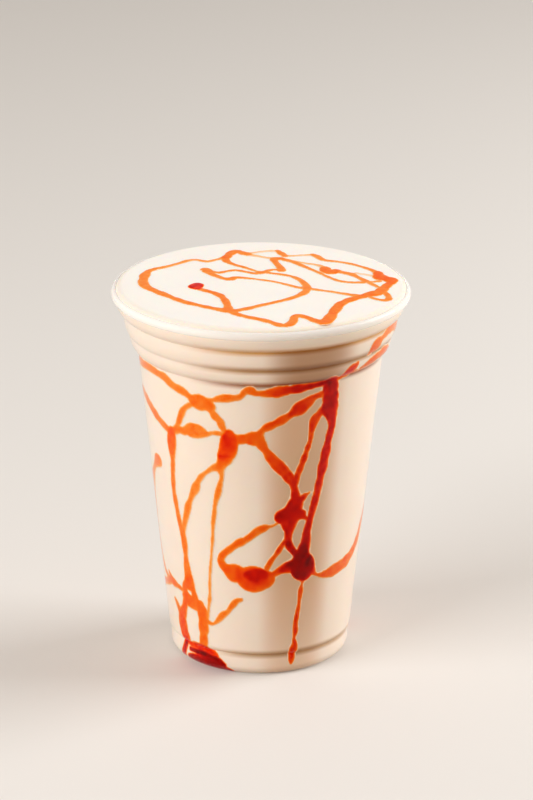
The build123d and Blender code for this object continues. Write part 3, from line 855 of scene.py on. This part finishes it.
def pour_on_wall(strands, name):
    """Syrup between the wall and the drink, for the strands given."""
    drink, syrup = bpy.context.scene.drink_settings, bpy.context.scene.syrup_settings
    line = side_outline(WALL - drink.bite, pitch=0.2)
    run = np.concatenate(([0], np.cumsum(np.linalg.norm(np.diff(line, axis=0), axis=1))))
    low, high = WALL_REACH
    start = np.interp(-high, -line[:, 1], run)
    stop = np.interp(-low, -line[:, 1], run)
    count = round((stop - start) / syrup.pitch)
    stations = np.linspace(start, stop, count)
    seat = np.stack([np.interp(stations, run, line[:, axis]) for axis in (0, 1)], axis=1)
    along = np.gradient(seat, axis=0)
    out = np.stack((-along[:, 1], along[:, 0]), axis=1)
    out /= np.linalg.norm(out, axis=1)[:, None]
    turns = np.linspace(-math.pi, math.pi, COLUMNS + 1)
    places = places_round_wall(turns[None, :], seat)
    row_pitch = (stop - start) / (count - 1)
    column_pitch = 2 * math.pi / COLUMNS * seat[:, 0]

    def cell_of(points):
        """Grid cells and places of a smooth run through a strand's points."""
        points = np.array(points, float)
        reach = np.interp(-points[:, 1], -line[:, 1], run)
        girth = np.interp(reach, run, line[:, 0]).mean()
        flat = np.stack((np.radians(points[:, 0]) * girth, reach, points[:, 2]), axis=1)
        flat = smooth_run(flat, RUN_PITCH)
        angle = flat[:, 0] / girth
        radius = np.interp(flat[:, 1], run, line[:, 0])
        height = np.interp(flat[:, 1], run, line[:, 1])
        spots = np.stack((radius * np.sin(angle), -radius * np.cos(angle), height), axis=1)
        column = (angle + math.pi) / (2 * math.pi) * COLUMNS
        cells = np.stack(((flat[:, 1] - start) / row_pitch, column), axis=1)
        lean = np.stack((np.cos(angle), np.sin(angle), -np.ones(len(angle))), axis=1) / math.sqrt(2)
        return cells, spots, (flat[:, 2] + syrup.wall_spread) / 2, lean

    depth, colour = pour_strands(
        places[:, :-1], cell_of, (row_pitch, column_pitch), True, strands, syrup.wall_fade, syrup.web
    )
    wander, wave = 0.07, 2.2    # how far an edge wanders, and over what length, in mm
    depth += wander * soft_noise(places[:, :-1], wave, HAND_SEED)
    depth[[0, -1]] = np.minimum(depth[[0, -1]], CLOSED)
    depth = np.hstack((depth, depth[:, :1]))
    colour = np.hstack((colour, colour[:, :1]))
    piece = cut_film(depth, syrup.halo)
    flat = read_points(piece)
    height = lens(flat[:, 2], proud=0.16, sink=0.9, edge=0.03)
    turn = turns[0] + flat[:, 0] * 2 * math.pi / COLUMNS
    radius = sample_line(seat[:, 0], flat[:, 1]) + height * sample_line(out[:, 0], flat[:, 1])
    up = sample_line(seat[:, 1], flat[:, 1]) + height * sample_line(out[:, 1], flat[:, 1])
    spots = np.stack((radius * np.sin(turn), -radius * np.cos(turn), up), axis=1)
    film = sample(colour, flat[:, 1], flat[:, 0])
    close_film(piece, spots, film)
    dress(piece, name, bpy.data.materials["fruit_syrup"])


def sample_line(values, at):
    """Values of a list between its entries."""
    return np.interp(at, np.arange(len(values)), values)


def pour_strands(places, cell_of, pitches, wraps, strands, fade, web):
    """Depth inside the nearest strand edge, in mm, and strength of colour, at each place."""
    uneven, wave = 0.1, 4.5    # share by which a strand's width varies, and over what length in mm
    margin = 1.2               # how far past a strand's edge the depth is worked out
    thinning = 0.35            # share of the colour that the lower right edge loses
    early = 0.2                # how far short of a strand's middle that starts, as a share of its half
    blend = 0.12               # how softly the strengths of two strands join
    rows, columns = places.shape[:2]
    depth = np.full((rows, columns), OUTSIDE)
    colour = np.zeros((rows, columns))
    for number, (first, last, points) in enumerate(strands):
        own = np.full((rows, columns), OUTSIDE)
        tone = np.zeros((rows, columns))
        cells, spots, halves, leans = cell_of(points)
        halves = halves * (1 + uneven * soft_noise(spots, wave, HAND_SEED + number))
        strengths = np.linspace(first, last, len(cells))
        for (row, column), spot, half, strength, lean in zip(cells, spots, halves, strengths, leans):
            reach = half + margin
            tall = int(reach / pitches[0]) + 1
            wide = int(reach / pitches[1][int(np.clip(row, 0, rows - 1))]) + 1
            band = np.arange(max(0, int(row) - tall), min(rows, int(row) + tall + 2))
            across = np.arange(int(column) - wide, int(column) + wide + 2)
            across = across % columns if wraps else across[(across >= 0) & (across < columns)]
            window = np.ix_(band, across)
            away = places[window] - spot
            inside = (half ** 2 - (away ** 2).sum(axis=-1)) / (2 * half)
            own[window] = np.maximum(own[window], inside)
            thins = 1 - thinning * np.clip((away @ lean / half + early) / (1 + early), 0, 1) ** 2
            shade = strength * thins * (1 - np.exp(-np.maximum(inside, 0) / fade))
            tone[window] = np.maximum(tone[window], shade)
        colour = join_softly(colour, tone, blend)
        depth = join_softly(depth, own, web)
    return depth, colour


class MILKSHAKE_OT_stage(bpy.types.Operator):
    """Lay the floor, hang the lamps and set the camera"""

    bl_idname = "milkshake.stage"
    bl_label = "Stage"

    def execute(self, context):
        settings = context.scene.stage_settings
        floor_material, tree = new_material("matt_paper_floor")
        # The drink gets the soft warm light of a plain table, whatever the floor's own colour
        lights = add_node(tree, "LightPath").outputs["Is Diffuse Ray"]
        shade = add_node(
            tree, "Mix", {0: lights, 6: settings.floor, 7: settings.bounce}, data_type="RGBA"
        )
        paper = add_node(tree, "BsdfPrincipled", {"Base Color": shade.outputs[2], "Roughness": 0.7})
        add_node(tree, "OutputMaterial", {"Surface": paper.outputs[0]})
        clear_selection()
        bpy.ops.mesh.primitive_grid_add(x_subdivisions=8, y_subdivisions=8, size=14)
        floor = context.active_object
        floor.name = "floor"
        floor.data.materials.append(floor_material)
        light_world(settings)
        hang_lamp("key_lamp", turn=-57, lift=28, size=0.9, level=settings.key)
        hang_lamp("back_lamp", turn=104, lift=26, size=0.8, level=settings.back)
        set_camera()
        return {"FINISHED"}


def light_world(settings):
    """Even light all round, and a pale backdrop where it is seen or mirrored."""
    world = bpy.data.worlds.new("studio")
    bpy.context.scene.world = world
    world.use_nodes = True
    tree = world.node_tree
    tree.nodes.clear()
    path = add_node(tree, "LightPath")
    seen = add_node(
        tree, "Math", {0: path.outputs["Is Camera Ray"], 1: path.outputs["Is Glossy Ray"]},
        operation="MAXIMUM",
    )
    seen = add_node(
        tree, "Math", {0: seen.outputs[0], 1: path.outputs["Is Transmission Ray"]}, operation="MAXIMUM"
    )
    lit = add_node(tree, "Background", {"Color": settings.even, "Strength": settings.fill})
    shown = add_node(tree, "Background", {"Color": settings.sky, "Strength": 1.0})
    both = add_node(tree, "MixShader", {0: seen.outputs[0], 1: lit.outputs[0], 2: shown.outputs[0]})
    add_node(tree, "OutputWorld", {"Surface": both.outputs[0]})


def hang_lamp(name, turn, lift, size, level):
    """A square soft lamp aimed at the cup: turn in degrees from the front, level as lit white."""
    distance = 1.3
    aim = Matrix.Translation((0, 0, RIM_HEIGHT * MM / 2))
    aim = aim @ Matrix.Rotation(math.radians(turn), 4, "Z")
    aim = aim @ Matrix.Rotation(math.radians(90 - lift), 4, "X")
    bpy.ops.object.light_add(type="AREA")
    lamp = bpy.context.active_object
    lamp.name = name
    lamp.matrix_world = aim @ Matrix.Translation((0, 0, distance))
    lamp.data.size = size
    lamp.data.energy = level * math.pi ** 2 * distance ** 2


def set_camera():
    """A long lens, looking a little down on the cup from the front."""
    bpy.ops.object.camera_add()
    camera = bpy.context.active_object
    camera.data.lens = 157.5
    spot = (0, -1.05528, 0.461376)
    pitch, yaw, roll = 0.34365, 0.001838, 0.004548
    turn = Matrix.Rotation(-yaw, 4, "Z") @ Matrix.Rotation(math.pi / 2 - pitch, 4, "X")
    camera.matrix_world = Matrix.Translation(spot) @ turn @ Matrix.Rotation(roll, 4, "Z")
    bpy.context.scene.camera = camera
    bpy.context.scene.view_settings.view_transform = "Standard"


class MILKSHAKE_OT_cup(bpy.types.Operator):
    """Give the cup its clear moulded plastic"""

    bl_idname = "milkshake.cup"
    bl_label = "Cup"

    def execute(self, context):
        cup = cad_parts["cup"]
        material = clear_polypropylene(context.scene.plastic_settings)
        for slot in cup.material_slots:
            slot.material = material
        return {"FINISHED"}


class MILKSHAKE_OT_drink(bpy.types.Operator):
    """Turn the drink, filled into the wall and bulging over the rim"""

    bl_idname = "milkshake.drink"
    bl_label = "Drink"

    def execute(self, context):
        settings = context.scene.drink_settings
        inset = WALL - settings.bite
        side = side_outline(inset, pitch=1.6)
        top = froth_top()
        # The froth runs down to the rim's inner side, and leaves a crease along its crest
        side = side[side[:, 1] < RIM_HEIGHT - CREASE]
        turn = np.radians(np.linspace(90, 0, 14))[:, None]
        meniscus = np.hstack((
            FROTH_EDGE + (side[0][0] - FROTH_EDGE) * np.cos(turn),
            side[0][1] + (top - side[0][1]) * np.sin(turn),
        ))[:-1]
        skirt = FOOT_RADIUS - FOOT_ROUNDING - LAND_WIDTH + inset
        panel = (skirt - PANEL_LEAN, PANEL_HEIGHT + inset)
        outline = np.vstack((
            [(0, top)], straight((0, top), meniscus[0], 2.2), meniscus[1:], side,
            [(skirt, inset)], straight((skirt, inset), panel, 1), straight(panel, (0, panel[1]), 6),
        ))
        piece = turn_outline(outline, settings.steps)
        spots = read_points(piece)
        upper = spots[:, 2] > (RIM_HEIGHT + 0.1) * MM
        spots[upper, 2] += MM * froth_height(spots[upper, 0] / MM, spots[upper, 1] / MM, settings)
        piece.data.vertices.foreach_set("co", spots.ravel())
        dress(piece, "drink", whipped_milk(settings))
        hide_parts("milkshake")
        return {"FINISHED"}


class MILKSHAKE_OT_wall_syrup(bpy.types.Operator):
    """Run syrup down the inside of the wall and into the foot"""

    bl_idname = "milkshake.wall_syrup"
    bl_label = "Syrup on the wall"

    def execute(self, context):
        pour_on_wall(WALL_STRANDS + FOOT_STRANDS, "syrup_wall")
        return {"FINISHED"}


class MILKSHAKE_OT_top_syrup(bpy.types.Operator):
    """Drizzle syrup over the froth"""

    bl_idname = "milkshake.top_syrup"
    bl_label = "Drizzle on top"

    def execute(self, context):
        drink, syrup = context.scene.drink_settings, context.scene.syrup_settings
        count = round(2 * TOP_HALF / TOP_PITCH) + 1
        across = np.linspace(-TOP_HALF, TOP_HALF, count)
        step = across[1] - across[0]
        places = np.stack((*np.meshgrid(across, across), np.zeros((count, count))), axis=-1)

        def cell_of(points):
            """Grid cells and places of a smooth run through a strand's points."""
            flat = smooth_run(points, RUN_PITCH)
            spots = np.stack((flat[:, 0], flat[:, 1], 0 * flat[:, 0]), axis=1)
            cells = (flat[:, 1::-1] + TOP_HALF) / step
            return cells, spots, (flat[:, 2] + syrup.top_spread) / 2, 0 * spots

        depth, colour = pour_strands(
            places, cell_of, (step, np.full(count, step)), False, TOP_STRANDS, syrup.top_fade, syrup.web
        )
        wander, wave = 0.06, 2.0    # how far an edge wanders, and over what length, in mm
        depth += wander * soft_noise(places, wave, HAND_SEED + 7)
        piece = cut_film(depth, syrup.halo / 2)
        flat = read_points(piece)
        x, y = flat[:, 0] * step - TOP_HALF, flat[:, 1] * step - TOP_HALF
        edge = 0.05
        height = lens(flat[:, 2], proud=syrup.proud + edge, sink=0.8, edge=edge)
        up = froth_top() + froth_height(x, y, drink) + height
        film = sample(colour, flat[:, 1], flat[:, 0])
        close_film(piece, np.stack((x, y, up), axis=1), film)
        dress(piece, "syrup_top", bpy.data.materials["fruit_syrup_on_froth"])
        return {"FINISHED"}


class MILKSHAKE_OT_syrup_finish(bpy.types.Operator):
    """Mix the two syrup finishes, over the drink and over the froth"""

    bl_idname = "milkshake.syrup_finish"
    bl_label = "Syrup finish"

    def execute(self, context):
        drink, syrup = context.scene.drink_settings, context.scene.syrup_settings
        fruit_syrup("fruit_syrup", syrup, cream=drink.body, gloss=0.02)
        fruit_syrup("fruit_syrup_on_froth", syrup, cream=drink.froth, gloss=0.03)
        return {"FINISHED"}


OPERATORS = (
    MILKSHAKE_OT_stage,
    MILKSHAKE_OT_cup,
    MILKSHAKE_OT_drink,
    MILKSHAKE_OT_syrup_finish,
    MILKSHAKE_OT_wall_syrup,
    MILKSHAKE_OT_top_syrup,
)


class MILKSHAKE_PT_panel(bpy.types.Panel):
    """Buttons for each piece of the milkshake"""

    bl_idname = "MILKSHAKE_PT_panel"
    bl_label = "Milkshake"
    bl_space_type = "VIEW_3D"
    bl_region_type = "UI"
    bl_category = "Milkshake"

    def draw(self, context):
        for operator in OPERATORS:
            self.layout.operator(operator.bl_idname)
        for group in SETTINGS:
            for name in SETTINGS[group].__annotations__:
                self.layout.prop(getattr(context.scene, group), name)


SETTINGS = {
    "drink_settings": DrinkSettings,
    "syrup_settings": SyrupSettings,
    "plastic_settings": PlasticSettings,
    "stage_settings": StageSettings,
}


def register():
    """Registers the settings, operators and panel."""
    for name, group in SETTINGS.items():
        bpy.utils.register_class(group)
        setattr(bpy.types.Scene, name, bpy.props.PointerProperty(type=group))
    for operator in OPERATORS:
        bpy.utils.register_class(operator)
    bpy.utils.register_class(MILKSHAKE_PT_panel)


def unregister():
    """Takes them all out again."""
    bpy.utils.unregister_class(MILKSHAKE_PT_panel)
    for operator in reversed(OPERATORS):
        bpy.utils.unregister_class(operator)
    for name, group in SETTINGS.items():
        delattr(bpy.types.Scene, name)
        bpy.utils.unregister_class(group)


def main():
    """Makes every piece."""
    register()
    bpy.ops.milkshake.stage()
    bpy.ops.milkshake.cup()
    bpy.ops.milkshake.drink()
    bpy.ops.milkshake.syrup_finish()
    bpy.ops.milkshake.wall_syrup()
    bpy.ops.milkshake.top_syrup()


if __name__ == "__main__":
    main()
